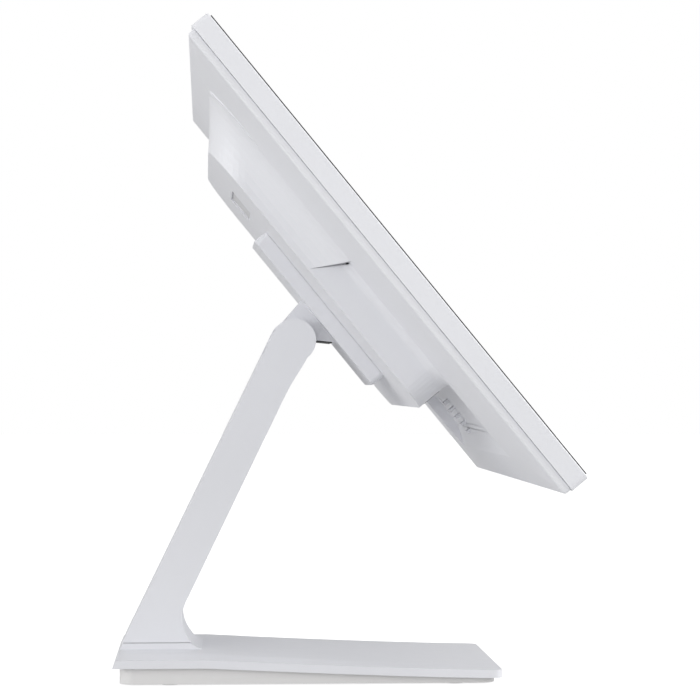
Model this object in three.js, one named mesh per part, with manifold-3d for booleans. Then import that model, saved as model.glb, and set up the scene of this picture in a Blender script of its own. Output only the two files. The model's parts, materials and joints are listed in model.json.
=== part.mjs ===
// POS touchscreen terminal on a leaning desk stand.
// Millimetres, +Z up, +X to the operator's right, the operator stands at -Y.
// The origin is the middle of the footprint's bounding box, on the counter.
//
// Three places to build in:
//   world frame  the base and its parts;
//   arm frame    origin on the tilt axis, +Z up along the leaning arm, +Y to its back;
//   head frame   origin on the tilt axis, +Z up along the screen, -Y out of the screen.

import * as THREE from 'three';
import { mergeVertices } from 'three/addons/utils/BufferGeometryUtils.js';
import Module from 'manifold-3d';

const wasm = await Module();
wasm.setup();

// ---------------------------------------------------------------- driving dimensions

const GAP = 0.3;                 // clearance between pieces that touch
const WALL = 2.2;                // moulded wall thickness

const FOOTPRINT_SHIFT = 1.12;     // brings the middle of the footprint over the origin
const SCREEN_LEAN = 39.5;        // screen plane behind vertical, degrees
const ARM_LEAN = 25.9;           // arm forward of vertical, degrees
const PIVOT_Y = 17.8;            // tilt axis
const PIVOT_Z = 180.9;

// head, measured in the head frame: y grows to the back, z up along the screen
const HEAD_WIDTH = 365;
const HEAD_TOP = 145.4;          // top end of the rear cover
const HEAD_BOTTOM = -136.9;
const HEAD_CORNER = 2.5;
const BEZEL_LIP = 0.9;           // bezel stands this far outside the rear cover at the sides
const END_LIP = { top: 2, bottom: 0.9 };    // and this far at the ends
const RIM_Y = -46.5;             // back edge of the rear cover's rim
const PARTING_Y = RIM_Y - 3.7;   // rear cover meets bezel
const FRONT_Y = RIM_Y - 14.5;    // face of the glass
const BEZEL_FRONT_Y = FRONT_Y + 0.7;
const CROWN_RISE = 3.4;          // the back swells this much from rim to housing
const HOUSING_HALF = 104;        // rear housing, half width
const HOUSING_DEPTH = 21.6;      // its back face behind the rim
const HOUSING_TOP = HEAD_TOP - 23;
const HOUSING_BOTTOM = HEAD_TOP - 212;
const HOUSING_TOP_CORNER = 28;
const HOUSING_LOW_CORNER = 15;
const HOUSING_SLOPE = 18.7;      // run of the sloping top end
const FLARE = 19;                // sideways sweep of the upper side wall into the cover
const END_SWEEP = 0.25;          // the top end sweeps out by this share of the side's sweep
const FOOT_FILLET = 5;           // the lower side wall's own, smaller sweep
const NOTCH_BACK = HEAD_TOP - 121;   // the sweep ends on a slanted step, from the back face
const NOTCH_COVER = HEAD_TOP - 131.5;    // down to the cover
const NOTCH_GROOVE = 1.3;        // height of the groove under the step, at the cover
const CROWN_BOTTOM = HEAD_TOP - 253;
const RECESS_BOTTOM = HEAD_TOP - 261;   // port recess, lower end
const RECESS_FLOOR_Y = RIM_Y - 2.6;
const RECESS_RAMP = 20;          // its floor eases out to the cover over this length

const HINGE_HALF = 31;           // hinge bracket plate
const HINGE_TOP = HEAD_TOP - 90.5;
const HINGE_BOTTOM = HEAD_TOP - 190.4;
const HINGE_BACK_Y = RIM_Y + 29.5;

// glass and panel
const GLASS_THICK = 1.8;
const GLASS_INSET = 2;
const PANEL = { width: 326.5, height: 253.5, thick: 5.9 };

// arm
const ARM_HALF = 28.5;
const ARM_BACK = 12;             // back face from the tilt axis
const ARM_FRONT = 9;             // front face from the tilt axis
const KNOB_RADIUS = 11.7;
const FORK_HALF = 17.8;          // half width of the slot between the ears
const FORK_FLOOR = -14;          // bottom of the slot along the arm
const EAR_WALL = 2.4;
const KNUCKLE_HALF = FORK_HALF - 0.5;
const KNUCKLE_RADIUS = 11.4;
const NECK_TANGENT = -142;       // where the neck's underside meets the knuckle, degrees
const SHAFT_RADIUS = 4.8;

// base
const PLATE_HALF = 64;
const PLATE_FRONT = -90.4;
const PLATE_THICK = 4.3;
const PAN_INSET = 3;
const SEAT_Z = 15.6;             // flat seat of the arm's steel foot
const SEAM_Z = 18.9;             // top of the boss that the arm's casing stands on
const FOOT_HEIGHT = 1.6;
const PAN_FLOOR_Z = 0.8;

// ---------------------------------------------------------------- colours

const WHITE_ABS = { color: 0xe4e5e9, roughness: 0.42, metalness: 0 };
const WHITE_PAINT = { color: 0xe8e9ec, roughness: 0.4, metalness: 0 };
const GREY_ABS = { color: 0xd2d3d6, roughness: 0.5, metalness: 0 };
const WARM_ABS = { color: 0xd8d5d4, roughness: 0.5, metalness: 0 };
const BLACK_GLASS = { color: 0x08090b, roughness: 0.06, metalness: 0 };
const DARK_PANEL = { color: 0x17191c, roughness: 0.4, metalness: 0.1 };
const STEEL = { color: 0xb4b7bb, roughness: 0.35, metalness: 1 };
const ZINC = { color: 0xc9ccd0, roughness: 0.3, metalness: 1 };
const ALUMINIUM = { color: 0xc4c7ca, roughness: 0.4, metalness: 1 };
const BOARD_GREEN = { color: 0x17452c, roughness: 0.5, metalness: 0 };
const BLACK_PLASTIC = { color: 0x1c1d1f, roughness: 0.5, metalness: 0 };
const BLACK_RUBBER = { color: 0x222222, roughness: 0.9, metalness: 0 };
const FOAM = { color: 0x2b2b2d, roughness: 0.95, metalness: 0 };

// ---------------------------------------------------------------- solid helpers

const rad = THREE.MathUtils.degToRad;

function toSolid(geometry) {
  const bare = geometry.clone();
  bare.deleteAttribute('normal');
  bare.deleteAttribute('uv');
  const merged = mergeVertices(bare, 1e-4);
  const vertProperties = new Float32Array(merged.attributes.position.array);
  const triVerts = new Uint32Array(merged.index.array);
  return new wasm.Manifold(new wasm.Mesh({ numProp: 3, vertProperties, triVerts }));
}

function toGeometry(solid) {
  const mesh = solid.getMesh();
  const indexed = new THREE.BufferGeometry();
  indexed.setAttribute('position', new THREE.BufferAttribute(mesh.vertProperties, 3));
  indexed.setIndex(new THREE.BufferAttribute(mesh.triVerts, 1));
  const geometry = indexed.toNonIndexed();
  geometry.computeVertexNormals();
  return geometry;
}

function piece(name, solid, finish) {
  const mesh = new THREE.Mesh(toGeometry(solid), new THREE.MeshStandardMaterial(finish));
  mesh.name = name;
  return mesh;
}

const join = (...solids) => solids.reduce((a, b) => a.add(b));
const cut = (body, ...tools) => tools.reduce((a, b) => a.subtract(b), body);

function box(x0, x1, y0, y1, z0, z1) {
  const geometry = new THREE.BoxGeometry(x1 - x0, y1 - y0, z1 - z0);
  geometry.translate((x0 + x1) / 2, (y0 + y1) / 2, (z0 + z1) / 2);
  return toSolid(geometry);
}

// The outline as plain points, without those that coincide where its curves join.
function cleaned(outline, curveSteps) {
  const points = outline.getPoints(curveSteps);
  const apart = points.filter((p, i) => p.distanceTo(points.at(i - 1)) > 0.02);
  return new THREE.Shape(apart);
}

// A side outline in (y, z), extruded from x0 to x1.
function extrudeX(outline, x0, x1, curveSteps = 8) {
  const geometry = new THREE.ExtrudeGeometry(cleaned(outline, curveSteps), {
    depth: x1 - x0,
    bevelEnabled: false,
  });
  const turn = new THREE.Matrix4().makeBasis(
    new THREE.Vector3(0, 1, 0),
    new THREE.Vector3(0, 0, 1),
    new THREE.Vector3(1, 0, 0),
  );
  geometry.applyMatrix4(turn);
  geometry.translate(x0, 0, 0);
  return toSolid(geometry);
}

// A plan outline in (x, y), extruded from z0 to z1.
function extrudeZ(outline, z0, z1, curveSteps = 4) {
  const geometry = new THREE.ExtrudeGeometry(cleaned(outline, curveSteps), {
    depth: z1 - z0,
    bevelEnabled: false,
  });
  geometry.translate(0, 0, z0);
  return toSolid(geometry);
}

function polygon(points) {
  const shape = new THREE.Shape();
  shape.setFromPoints(points.map(([a, b]) => new THREE.Vector2(a, b)));
  return shape;
}

function roundedRect(x0, x1, y0, y1, radius) {
  const shape = new THREE.Shape();
  shape.absarc(x1 - radius, y1 - radius, radius, 0, Math.PI / 2);
  shape.absarc(x0 + radius, y1 - radius, radius, Math.PI / 2, Math.PI);
  shape.absarc(x0 + radius, y0 + radius, radius, Math.PI, 1.5 * Math.PI);
  shape.absarc(x1 - radius, y0 + radius, radius, 1.5 * Math.PI, 2 * Math.PI);
  return shape;
}

const AXIS_TURN = {
  x: new THREE.Matrix4().makeRotationZ(-Math.PI / 2),
  y: new THREE.Matrix4(),
  z: new THREE.Matrix4().makeRotationX(Math.PI / 2),
};

// A cylinder along one axis, from `start` to `end` on that axis; `a` and `b` place its
// centre on the other two axes, in x, y, z order.
function rod(axis, radius, start, end, a, b, sides = 20, endRadius = radius) {
  const geometry = new THREE.CylinderGeometry(endRadius, radius, end - start, sides);
  geometry.applyMatrix4(AXIS_TURN[axis]);
  const middle = (start + end) / 2;
  if (axis === 'x') geometry.translate(middle, a, b);
  if (axis === 'y') geometry.translate(a, middle, b);
  if (axis === 'z') geometry.translate(a, b, middle);
  return toSolid(geometry);
}

// Stacked upright rounded rectangles in the head frame, skinned into one closed solid.
// A section is { y, half, top, bottom, radius }, and may have a lowRadius of its own.
function loft(sections, arcSteps = 4) {
  const rings = sections.map((s) => ringPoints(s, arcSteps));
  const count = rings[0].length;
  const positions = rings.flat().flatMap((p) => [p.x, p.y, p.z]);
  const index = [];
  for (let r = 0; r < rings.length - 1; r += 1) {
    for (let i = 0; i < count; i += 1) {
      const j = (i + 1) % count;
      const a = r * count + i;
      const b = r * count + j;
      index.push(a, a + count, b);
      index.push(b, a + count, b + count);
    }
  }
  const last = (rings.length - 1) * count;
  for (let i = 1; i < count - 1; i += 1) {
    index.push(0, i, i + 1);
    index.push(last, last + i + 1, last + i);
  }
  const geometry = new THREE.BufferGeometry();
  geometry.setAttribute('position', new THREE.Float32BufferAttribute(positions, 3));
  geometry.setIndex(index);
  return toSolid(geometry);
}

function ringPoints({ y, half, top, bottom, radius, lowRadius = radius }, arcSteps) {
  const corners = [
    [half, top, radius, 0],
    [-half, top, radius, 1],
    [-half, bottom, lowRadius, 2],
    [half, bottom, lowRadius, 3],
  ];
  const points = [];
  for (const [x, z, r, quarter] of corners) {
    const centreX = x - Math.sign(x) * r;
    const centreZ = quarter < 2 ? z - r : z + r;
    for (let k = 0; k <= arcSteps; k += 1) {
      const angle = (quarter + k / arcSteps) * (Math.PI / 2);
      const px = centreX + r * Math.cos(angle);
      const pz = centreZ + r * Math.sin(angle);
      points.push(new THREE.Vector3(px, y, pz));
    }
  }
  return points;
}

// Corner radius of an outline that lies `inset` inside the head's own.
const headCorner = (inset) => Math.max(HEAD_CORNER - inset, 0.6);

// ---------------------------------------------------------------- head: rear cover

const COVER_HALF = HEAD_WIDTH / 2 - BEZEL_LIP;
const CROWN_Y = RIM_Y + CROWN_RISE;
const HOUSING_BACK_Y = RIM_Y + HOUSING_DEPTH;

// The flat dish of the rear cover; `inset` shrinks it to make its inside.
function dish(inset) {
  const rim = {
    half: COVER_HALF - inset,
    top: HEAD_TOP - inset,
    bottom: HEAD_BOTTOM + inset,
    radius: headCorner(BEZEL_LIP + inset * 0.6),
  };
  const crown = {
    half: HOUSING_HALF + FLARE + 1,
    top: HOUSING_TOP - 6,
    bottom: CROWN_BOTTOM,
    radius: 45,
  };
  const open = inset > 0 ? 1 : 0;
  return loft([
    { y: PARTING_Y - open, ...rim },
    { y: RIM_Y - 0.8 - inset, ...rim },
    {
      y: RIM_Y - inset,
      half: rim.half - 0.8,
      top: rim.top - 0.8,
      bottom: rim.bottom + 0.8,
      radius: rim.radius,
    },
    { y: CROWN_Y - inset, ...crown },
  ], 6);
}

const HOUSING_ROOT = 0.8;        // the housing starts this far behind the rim, inside the dish
const SWEEP_STEPS = 8;

// The housing that stands on the dish. Its side walls sweep outwards by `flare` where they
// run into the cover, on a quarter ellipse `reach` deep. `side` and `back` shrink the whole
// to make its inside.
function housing({ side = 0, back = 0, flare, reach, toFront = false }) {
  const section = (depth, sweep) => {
    const k = (depth - HOUSING_ROOT) / (HOUSING_DEPTH - HOUSING_ROOT);
    return {
      y: RIM_Y + depth,
      half: HOUSING_HALF - side + sweep,
      top: HOUSING_TOP - side - HOUSING_SLOPE * k ** 1.15 + sweep * END_SWEEP,
      bottom: HOUSING_BOTTOM + side,
      radius: HOUSING_TOP_CORNER - side * 0.5,
      lowRadius: HOUSING_LOW_CORNER - side * 0.5,
    };
  };
  const sections = [section(HOUSING_ROOT, flare)];
  for (let i = 0; i <= SWEEP_STEPS; i += 1) {
    const angle = (Math.PI / 2) * (1 - i / SWEEP_STEPS);
    const depth = CROWN_RISE + reach * (1 - Math.sin(angle));
    sections.push(section(depth, flare * (1 - Math.cos(angle))));
  }
  if (CROWN_RISE + reach < HOUSING_DEPTH - back) {
    sections.push(section(HOUSING_DEPTH, 0));
  }
  sections.at(-1).y -= back;
  if (toFront) sections.unshift({ ...sections[0], y: PARTING_Y - 1 });
  return loft(sections, 10);
}

const SWEPT = { flare: FLARE, reach: HOUSING_DEPTH - CROWN_RISE };
const SWEPT_INSIDE = { flare: FLARE - 5, reach: HOUSING_DEPTH - CROWN_RISE };
const PLAIN = { flare: FOOT_FILLET, reach: FOOT_FILLET };
const PLAIN_INSIDE = { flare: FOOT_FILLET / 2, reach: FOOT_FILLET };

// Everything above (or, mirrored by `below`, under) a slanted line on the side wall, which
// starts at the step's point on the back face and meets the cover at `lineZ`.
function notchRegion(lineZ, below) {
  const slope = (NOTCH_BACK - lineZ) / (HOUSING_DEPTH - CROWN_RISE);
  const zAt = (depth) => NOTCH_BACK - slope * (HOUSING_DEPTH - depth);
  const far = below ? -300 : 300;
  const shape = polygon([
    [RIM_Y - 12, zAt(-12)],
    [RIM_Y + 30, zAt(30)],
    [RIM_Y + 30, far],
    [RIM_Y - 12, far],
  ]);
  return extrudeX(shape, -200, 200);
}

function portRecess(grow) {
  const floor = RECESS_FLOOR_Y - grow * 0.85;
  const back = RIM_Y + 30;
  const low = RECESS_BOTTOM - grow;
  const shape = new THREE.Shape();
  shape.moveTo(floor, HOUSING_BOTTOM + grow);
  shape.lineTo(floor, low + RECESS_RAMP);
  shape.bezierCurveTo(
    floor, low + RECESS_RAMP * 0.55,
    RIM_Y + 1.4, low + RECESS_RAMP * 0.4,
    RIM_Y + 2.8, low,
  );
  shape.lineTo(back, low);
  shape.lineTo(back, HOUSING_BOTTOM + grow);
  shape.closePath();
  return extrudeX(shape, -HOUSING_HALF - grow, HOUSING_HALF + grow);
}

const HINGE_SCREW_X = 22;
const HINGE_SCREW_Z = [HINGE_TOP - 12, HINGE_BOTTOM + 12];
const HINGE_SCREW_TIP_Y = HINGE_BACK_Y - 2.4;     // blind, so that the plate's back stays clean
const ACCESSORY_Z = [HEAD_TOP - 77.6, HEAD_TOP - 62];
const ACCESSORY_HALF = 28;
const ACCESSORY_DEPTH = 6;
const PORT_OPENING = { half: 85.5, y0: RIM_Y + 4.5, y1: RIM_Y + 18.6 };

// Two case screws sit in the port recess, two at the bottom of wells in the sloping top.
const CASE_SCREW_RADIUS = 3;
const CASE_SCREW_TIP_Y = FRONT_Y + 8.4;     // just through the chassis plate
const RECESS_SCREW = { x: 90, z: HEAD_TOP - 229, headY: RECESS_FLOOR_Y - 0.3 };
const WELL_SCREW = { x: 70, z: HEAD_TOP - 33, headY: RIM_Y + 1.2 };
const WELL_RADIUS = CASE_SCREW_RADIUS + 0.3;

const CABLE_RIB = { x: 46, half: 5, height: 3.6, thick: 1.8, count: 5 };

// Low ribs on the recess floor that a cable is pressed between.
function cableRibs() {
  const first = HEAD_TOP - 228;
  const ribs = [];
  for (let i = 0; i < CABLE_RIB.count; i += 1) {
    const z = first - i * 5.2;
    ribs.push(box(
      CABLE_RIB.x - CABLE_RIB.half, CABLE_RIB.x + CABLE_RIB.half,
      RECESS_FLOOR_Y - 0.4, RECESS_FLOOR_Y + CABLE_RIB.height,
      z - CABLE_RIB.thick / 2, z + CABLE_RIB.thick / 2,
    ));
  }
  return ribs;
}

function screwWell(x) {
  const post = rod('y', WELL_RADIUS + 1.8, PARTING_Y - 0.2, HOUSING_BACK_Y, x, WELL_SCREW.z, 24);
  return post.intersect(join(housing(PLAIN), dish(0)));
}

function rearCover() {
  const upper = housing(SWEPT).intersect(notchRegion(NOTCH_COVER, false));
  const shell = join(dish(0), housing(PLAIN), upper);

  const hollow = { side: WALL, back: WALL, toFront: true };
  const inside = join(
    cut(dish(WALL), portRecess(WALL)),
    cut(housing({ ...hollow, ...PLAIN_INSIDE }), portRecess(WALL)),
    housing({ ...hollow, ...SWEPT_INSIDE }).intersect(notchRegion(NOTCH_COVER + WALL, false)),
  );

  const added = cableRibs();
  added.push(box(
    -ACCESSORY_HALF - WALL, ACCESSORY_HALF + WALL,
    HOUSING_BACK_Y - ACCESSORY_DEPTH - WALL, HOUSING_BACK_Y - 1,
    ACCESSORY_Z[0] - WALL, ACCESSORY_Z[1] + WALL,
  ));

  const holes = [];
  holes.push(box(
    -PORT_OPENING.half, PORT_OPENING.half,
    PORT_OPENING.y0, PORT_OPENING.y1,
    HOUSING_BOTTOM - 4, HOUSING_BOTTOM + 14,
  ));
  holes.push(box(
    -ACCESSORY_HALF, ACCESSORY_HALF,
    HOUSING_BACK_Y - ACCESSORY_DEPTH, HOUSING_BACK_Y + 1,
    ...ACCESSORY_Z,
  ));
  for (const x of [-HINGE_SCREW_X, HINGE_SCREW_X]) {
    for (const z of HINGE_SCREW_Z) {
      holes.push(rod('y', 2.6, HOUSING_BACK_Y - 8, HOUSING_BACK_Y + 1, x, z, 12));
    }
  }
  for (const side of [-1, 1]) {
    added.push(screwWell(side * WELL_SCREW.x));
    holes.push(...caseScrewHole(side, RECESS_SCREW), ...caseScrewHole(side, WELL_SCREW));
    const span = [side * (HOUSING_HALF - 1.4), side * 140].sort((a, b) => a - b);
    const groove = notchRegion(NOTCH_COVER, true)
      .intersect(notchRegion(NOTCH_COVER - NOTCH_GROOVE, false))
      .intersect(box(...span, CROWN_Y + GAP, HOUSING_BACK_Y - 1.5, -50, 50));
    holes.push(groove);
  }
  const body = join(cut(shell, inside, portRecess(0)), ...added);
  return piece('rear_cover', cut(body, ...holes), WHITE_ABS);
}

// Countersunk hole under a case screw's head, and the well above it.
function caseScrewHole(side, { x, z, headY }) {
  const top = headY + 0.3;
  const seat = rod('y', 1.9, top - 1.9, top + 0.01, side * x, z, 20, WELL_RADIUS);
  const shank = rod('y', 1.9, PARTING_Y - 1, top - 1.8, side * x, z, 20);
  const well = rod('y', WELL_RADIUS, top, HOUSING_BACK_Y + 1, side * x, z, 20);
  return [seat, shank, well];
}

function accessoryCover() {
  const faceY = HOUSING_BACK_Y - 0.9;
  const [z0, z1] = ACCESSORY_Z;
  const plate = box(
    -ACCESSORY_HALF + GAP, ACCESSORY_HALF - GAP,
    faceY - 1.6, faceY,
    z0 + GAP, z1 - GAP,
  );
  const latches = [-18, 18].map((x) => box(
    x - 3, x + 3,
    HOUSING_BACK_Y - ACCESSORY_DEPTH + GAP, faceY - 1,
    z0 + 1, z1 - 1,
  ));
  return piece('accessory_cover', join(plate, ...latches), GREY_ABS);
}

// ---------------------------------------------------------------- head: front stack

const LEDGE_Y = FRONT_Y + 3;
const BEZEL_ENDS = { top: HEAD_TOP + END_LIP.top, bottom: HEAD_BOTTOM - END_LIP.bottom };
const BEZEL_INNER_TOP = HEAD_TOP + BEZEL_LIP - WALL;
const BEZEL_INNER_BOTTOM = HEAD_BOTTOM - BEZEL_LIP + WALL;
const BUTTON_X = 150;
const BUTTON_Y = PARTING_Y - 3.4;
const BUTTON_HALF = { x: 6, y: 1.9 };

// Plan of the pill-shaped power button, grown by `grow`.
function buttonPlan(grow) {
  const { x, y } = BUTTON_HALF;
  return roundedRect(
    BUTTON_X - x - grow, BUTTON_X + x + grow,
    BUTTON_Y - y - grow, BUTTON_Y + y + grow,
    y + grow - 0.05,
  );
}

function frontBezel() {
  const half = HEAD_WIDTH / 2;
  const { top, bottom } = BEZEL_ENDS;
  const edge = 0.5;
  const outer = loft([
    {
      y: BEZEL_FRONT_Y,
      half: half - edge,
      top: top - edge,
      bottom: bottom + edge,
      radius: headCorner(edge * 0.5),
    },
    { y: BEZEL_FRONT_Y + edge, half, top, bottom, radius: HEAD_CORNER },
    { y: PARTING_Y - GAP, half, top, bottom, radius: HEAD_CORNER },
  ]);
  const pocketInset = GLASS_INSET - GAP;
  const glassPocket = loft([
    {
      y: FRONT_Y - 2,
      half: half - pocketInset,
      top: top - pocketInset,
      bottom: bottom + pocketInset,
      radius: headCorner(pocketInset),
    },
    {
      y: LEDGE_Y,
      half: half - pocketInset,
      top: top - pocketInset,
      bottom: bottom + pocketInset,
      radius: headCorner(pocketInset),
    },
  ]);
  const hollow = loft([
    {
      y: LEDGE_Y + 1.6,
      half: half - WALL,
      top: BEZEL_INNER_TOP,
      bottom: BEZEL_INNER_BOTTOM,
      radius: headCorner(WALL),
    },
    {
      y: PARTING_Y + 1,
      half: half - WALL,
      top: BEZEL_INNER_TOP,
      bottom: BEZEL_INNER_BOTTOM,
      radius: headCorner(WALL),
    },
  ]);
  const panelZ = (top + bottom) / 2;
  const window = box(
    -PANEL.width / 2 - 1.5, PANEL.width / 2 + 1.5,
    FRONT_Y - 1, PARTING_Y + 1,
    panelZ - PANEL.height / 2 - 1.5, panelZ + PANEL.height / 2 + 1.5,
  );
  const buttonHole = extrudeZ(buttonPlan(GAP), bottom - 1, BEZEL_INNER_BOTTOM + 1);
  return piece('front_bezel', cut(outer, glassPocket, hollow, window, buttonHole), WHITE_ABS);
}

const SCREEN_MID_Z = (BEZEL_ENDS.top + BEZEL_ENDS.bottom) / 2;
const SCREEN_HALF_Z = (BEZEL_ENDS.top - BEZEL_ENDS.bottom) / 2;

function touchGlass() {
  const section = {
    half: HEAD_WIDTH / 2 - GLASS_INSET,
    top: SCREEN_MID_Z + SCREEN_HALF_Z - GLASS_INSET,
    bottom: SCREEN_MID_Z - SCREEN_HALF_Z + GLASS_INSET,
    radius: headCorner(GLASS_INSET),
  };
  const body = loft([
    { ...section, y: FRONT_Y },
    { ...section, y: FRONT_Y + GLASS_THICK },
  ]);
  return piece('touch_glass', body, BLACK_GLASS);
}

function glassGasket() {
  const y0 = FRONT_Y + GLASS_THICK + GAP;
  const y1 = LEDGE_Y - GAP;
  const outer = {
    half: HEAD_WIDTH / 2 - 6,
    top: SCREEN_MID_Z + SCREEN_HALF_Z - 6,
    bottom: SCREEN_MID_Z - SCREEN_HALF_Z + 6,
    radius: 6,
  };
  const ring = loft([{ ...outer, y: y0 }, { ...outer, y: y1 }], 2);
  const window = box(
    -PANEL.width / 2 - 3, PANEL.width / 2 + 3,
    y0 - 1, y1 + 1,
    SCREEN_MID_Z - PANEL.height / 2 - 3, SCREEN_MID_Z + PANEL.height / 2 + 3,
  );
  return piece('glass_gasket', cut(ring, window), FOAM);
}

const PANEL_FRONT_Y = FRONT_Y + GLASS_THICK + GAP;
const CHASSIS_FRONT_Y = PANEL_FRONT_Y + PANEL.thick + GAP;
const CHASSIS_BACK_Y = CHASSIS_FRONT_Y + 0.7;

function lcdPanel() {
  const halfX = PANEL.width / 2;
  const halfZ = PANEL.height / 2;
  const back = PANEL_FRONT_Y + PANEL.thick;
  const plate = box(
    -halfX, halfX, PANEL_FRONT_Y, back - 1.2,
    SCREEN_MID_Z - halfZ, SCREEN_MID_Z + halfZ,
  );
  const tray = box(
    -halfX + 6, halfX - 6, back - 2, back,
    SCREEN_MID_Z - halfZ + 6, SCREEN_MID_Z + halfZ - 6,
  );
  return piece('lcd_panel', join(plate, tray), DARK_PANEL);
}

function chassisPlate() {
  let plate = box(
    -166, 166, CHASSIS_FRONT_Y, CHASSIS_BACK_Y,
    SCREEN_MID_Z - 125, SCREEN_MID_Z + 125,
  );
  for (const x of [-135, 135]) {
    for (const z of [-80, 0, 80]) {
      const slot = box(
        x - 14, x + 14, CHASSIS_FRONT_Y - 1, CHASSIS_BACK_Y + 1,
        SCREEN_MID_Z + z - 25, SCREEN_MID_Z + z + 25,
      );
      plate = cut(plate, slot);
    }
  }
  for (const { x, z } of [RECESS_SCREW, WELL_SCREW]) {
    for (const side of [-1, 1]) {
      plate = cut(plate, rod('y', 2, CHASSIS_FRONT_Y - 1, CHASSIS_BACK_Y + 1, side * x, z, 12));
    }
  }
  return piece('chassis_plate', plate, STEEL);
}

// ---------------------------------------------------------------- head: electronics

const BOARD_Y = RIM_Y + 6;
const BOARD_BACK_Y = BOARD_Y + 1.6;
const BOARD_HALF = 86;
const BOARD_BOTTOM = HOUSING_BOTTOM + 12;
const BOARD_TOP = 62;

function mainBoard() {
  let board = box(-BOARD_HALF, BOARD_HALF, BOARD_Y, BOARD_BACK_Y, BOARD_BOTTOM, BOARD_TOP);
  for (const x of [-BOARD_HALF + 5, BOARD_HALF - 5]) {
    for (const z of [BOARD_BOTTOM + 5, BOARD_TOP - 5]) {
      board = cut(board, rod('y', 1.8, BOARD_Y - 1, BOARD_BACK_Y + 1, x, z, 10));
    }
  }
  return piece('main_board', board, BOARD_GREEN);
}

function heatSink() {
  const y0 = BOARD_BACK_Y + GAP;
  let body = box(-82, -36, y0, y0 + 1.6, 4, 54);
  for (let i = 0; i < 8; i += 1) {
    const x = -82 + i * 6.4;
    body = join(body, box(x, x + 1.2, y0 + 1, y0 + 8, 4, 54));
  }
  return piece('heat_sink', body, ALUMINIUM);
}

function storageDrive() {
  const y0 = BOARD_BACK_Y + GAP + 0.4;
  const slab = box(34, 84, y0, y0 + 7, -35, 40);
  const label = box(38, 80, y0 + 6.6, y0 + 7.2, -20, 30);
  return piece('storage_drive', join(slab, label), ALUMINIUM);
}

function speaker(name, side) {
  const y0 = RIM_Y + 5;
  const frame = box(side * 62 - 18, side * 62 + 18, y0, y0 + 8, 68, 88);
  const cone = rod('y', 8, y0 - 2, y0 + 2, side * 62, 78, 16, 6);
  return piece(name, join(frame, cone), BLACK_PLASTIC);
}

// Port sockets face down, out of the housing's bottom wall.
const PORT_FACE_Z = HOUSING_BOTTOM - 0.4;
const PORT_DEPTH = 15;
const PORTS = [
  { name: 'dc_inlet', x: -80, width: 10, height: 10, finish: BLACK_PLASTIC, kind: 'round' },
  { name: 'hdmi_port', x: -62, width: 15, height: 5.6, finish: STEEL, kind: 'tongue' },
  { name: 'lan_port', x: -41, width: 16, height: 10.4, finish: STEEL, kind: 'open' },
  { name: 'usb_port_left', x: -19, width: 14.4, height: 10.4, finish: STEEL, kind: 'double' },
  { name: 'usb_port_right', x: 1, width: 14.4, height: 10.4, finish: STEEL, kind: 'double' },
  { name: 'serial_port_left', x: 28, width: 31, height: 10.4, finish: STEEL, kind: 'shell' },
  { name: 'serial_port_right', x: 64, width: 31, height: 10.4, finish: STEEL, kind: 'shell' },
];
const PORT_BASE_Y = BOARD_BACK_Y + GAP;

function port({ name, x, width, height, finish, kind }) {
  const y0 = PORT_BASE_Y;
  const y1 = y0 + height;
  const z0 = PORT_FACE_Z;
  const z1 = z0 + PORT_DEPTH;
  const rim = 0.7;
  const body = box(x - width / 2, x + width / 2, y0, y1, z0, z1);
  const mouth = (inset, deep) => box(
    x - width / 2 + inset, x + width / 2 - inset,
    y0 + inset, y1 - inset,
    z0 - 1, z0 + deep,
  );
  const yMid = (y0 + y1) / 2;
  const tongue = (ya, yb, inset) => box(
    x - width / 2 + inset, x + width / 2 - inset, ya, yb, z0 + 1.5, z0 + PORT_DEPTH - 1,
  );
  let solid = body;
  if (kind === 'round') {
    solid = cut(body, rod('z', 3.2, z0 - 1, z0 + 9, x, yMid, 16));
    solid = join(solid, rod('z', 1.1, z0 + 1, z0 + 10, x, yMid, 10));
  }
  if (kind === 'open') solid = cut(body, mouth(1.6, 12));
  if (kind === 'tongue') {
    solid = join(cut(body, mouth(rim, 9)), tongue(yMid - 0.6, yMid + 0.6, 3));
  }
  if (kind === 'double') {
    const slots = cut(mouth(rim, 11), box(x - 9, x + 9, yMid - 0.6, yMid + 0.6, z0 - 2, z1));
    const lower = tongue(y0 + 2.2, y0 + 3.4, 2);
    const upper = tongue(yMid + 2.2, yMid + 3.4, 2);
    solid = join(cut(body, slots), lower, upper);
  }
  if (kind === 'shell') {
    const flange = box(x - width / 2, x + width / 2, y0, y1, z0 + 2.4, z1);
    const collar = box(x - 8.6, x + 8.6, y0 + 1.4, y1 - 1.2, z0 - 3, z0 + 4);
    const hollow = box(x - 8, x + 8, y0 + 2, y1 - 1.8, z0 - 4, z0 + 3);
    const posts = [-12.5, 12.5].map((dx) => rod('z', 2, z0 - 1, z0 + 4, x + dx, yMid, 6));
    solid = join(cut(join(flange, collar), hollow), ...posts);
  }
  return piece(name, solid, finish);
}

function ioBracket() {
  const z0 = HOUSING_BOTTOM + WALL + GAP;
  let plate = box(
    -PORT_OPENING.half + 1, PORT_OPENING.half - 1,
    RIM_Y + 2, PORT_OPENING.y1 + 0.4,
    z0, z0 + 1,
  );
  for (const { x, width, height } of PORTS) {
    const opening = box(
      x - width / 2 - GAP, x + width / 2 + GAP,
      PORT_BASE_Y - GAP, PORT_BASE_Y + height + GAP,
      z0 - 1, z0 + 2,
    );
    plate = cut(plate, opening);
  }
  return piece('io_bracket', plate, ZINC);
}

// ---------------------------------------------------------------- head: power button

const BUTTON_FACE_Z = BEZEL_ENDS.bottom - 0.9;
const BUTTON_TRAVEL = 0.8;

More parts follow.
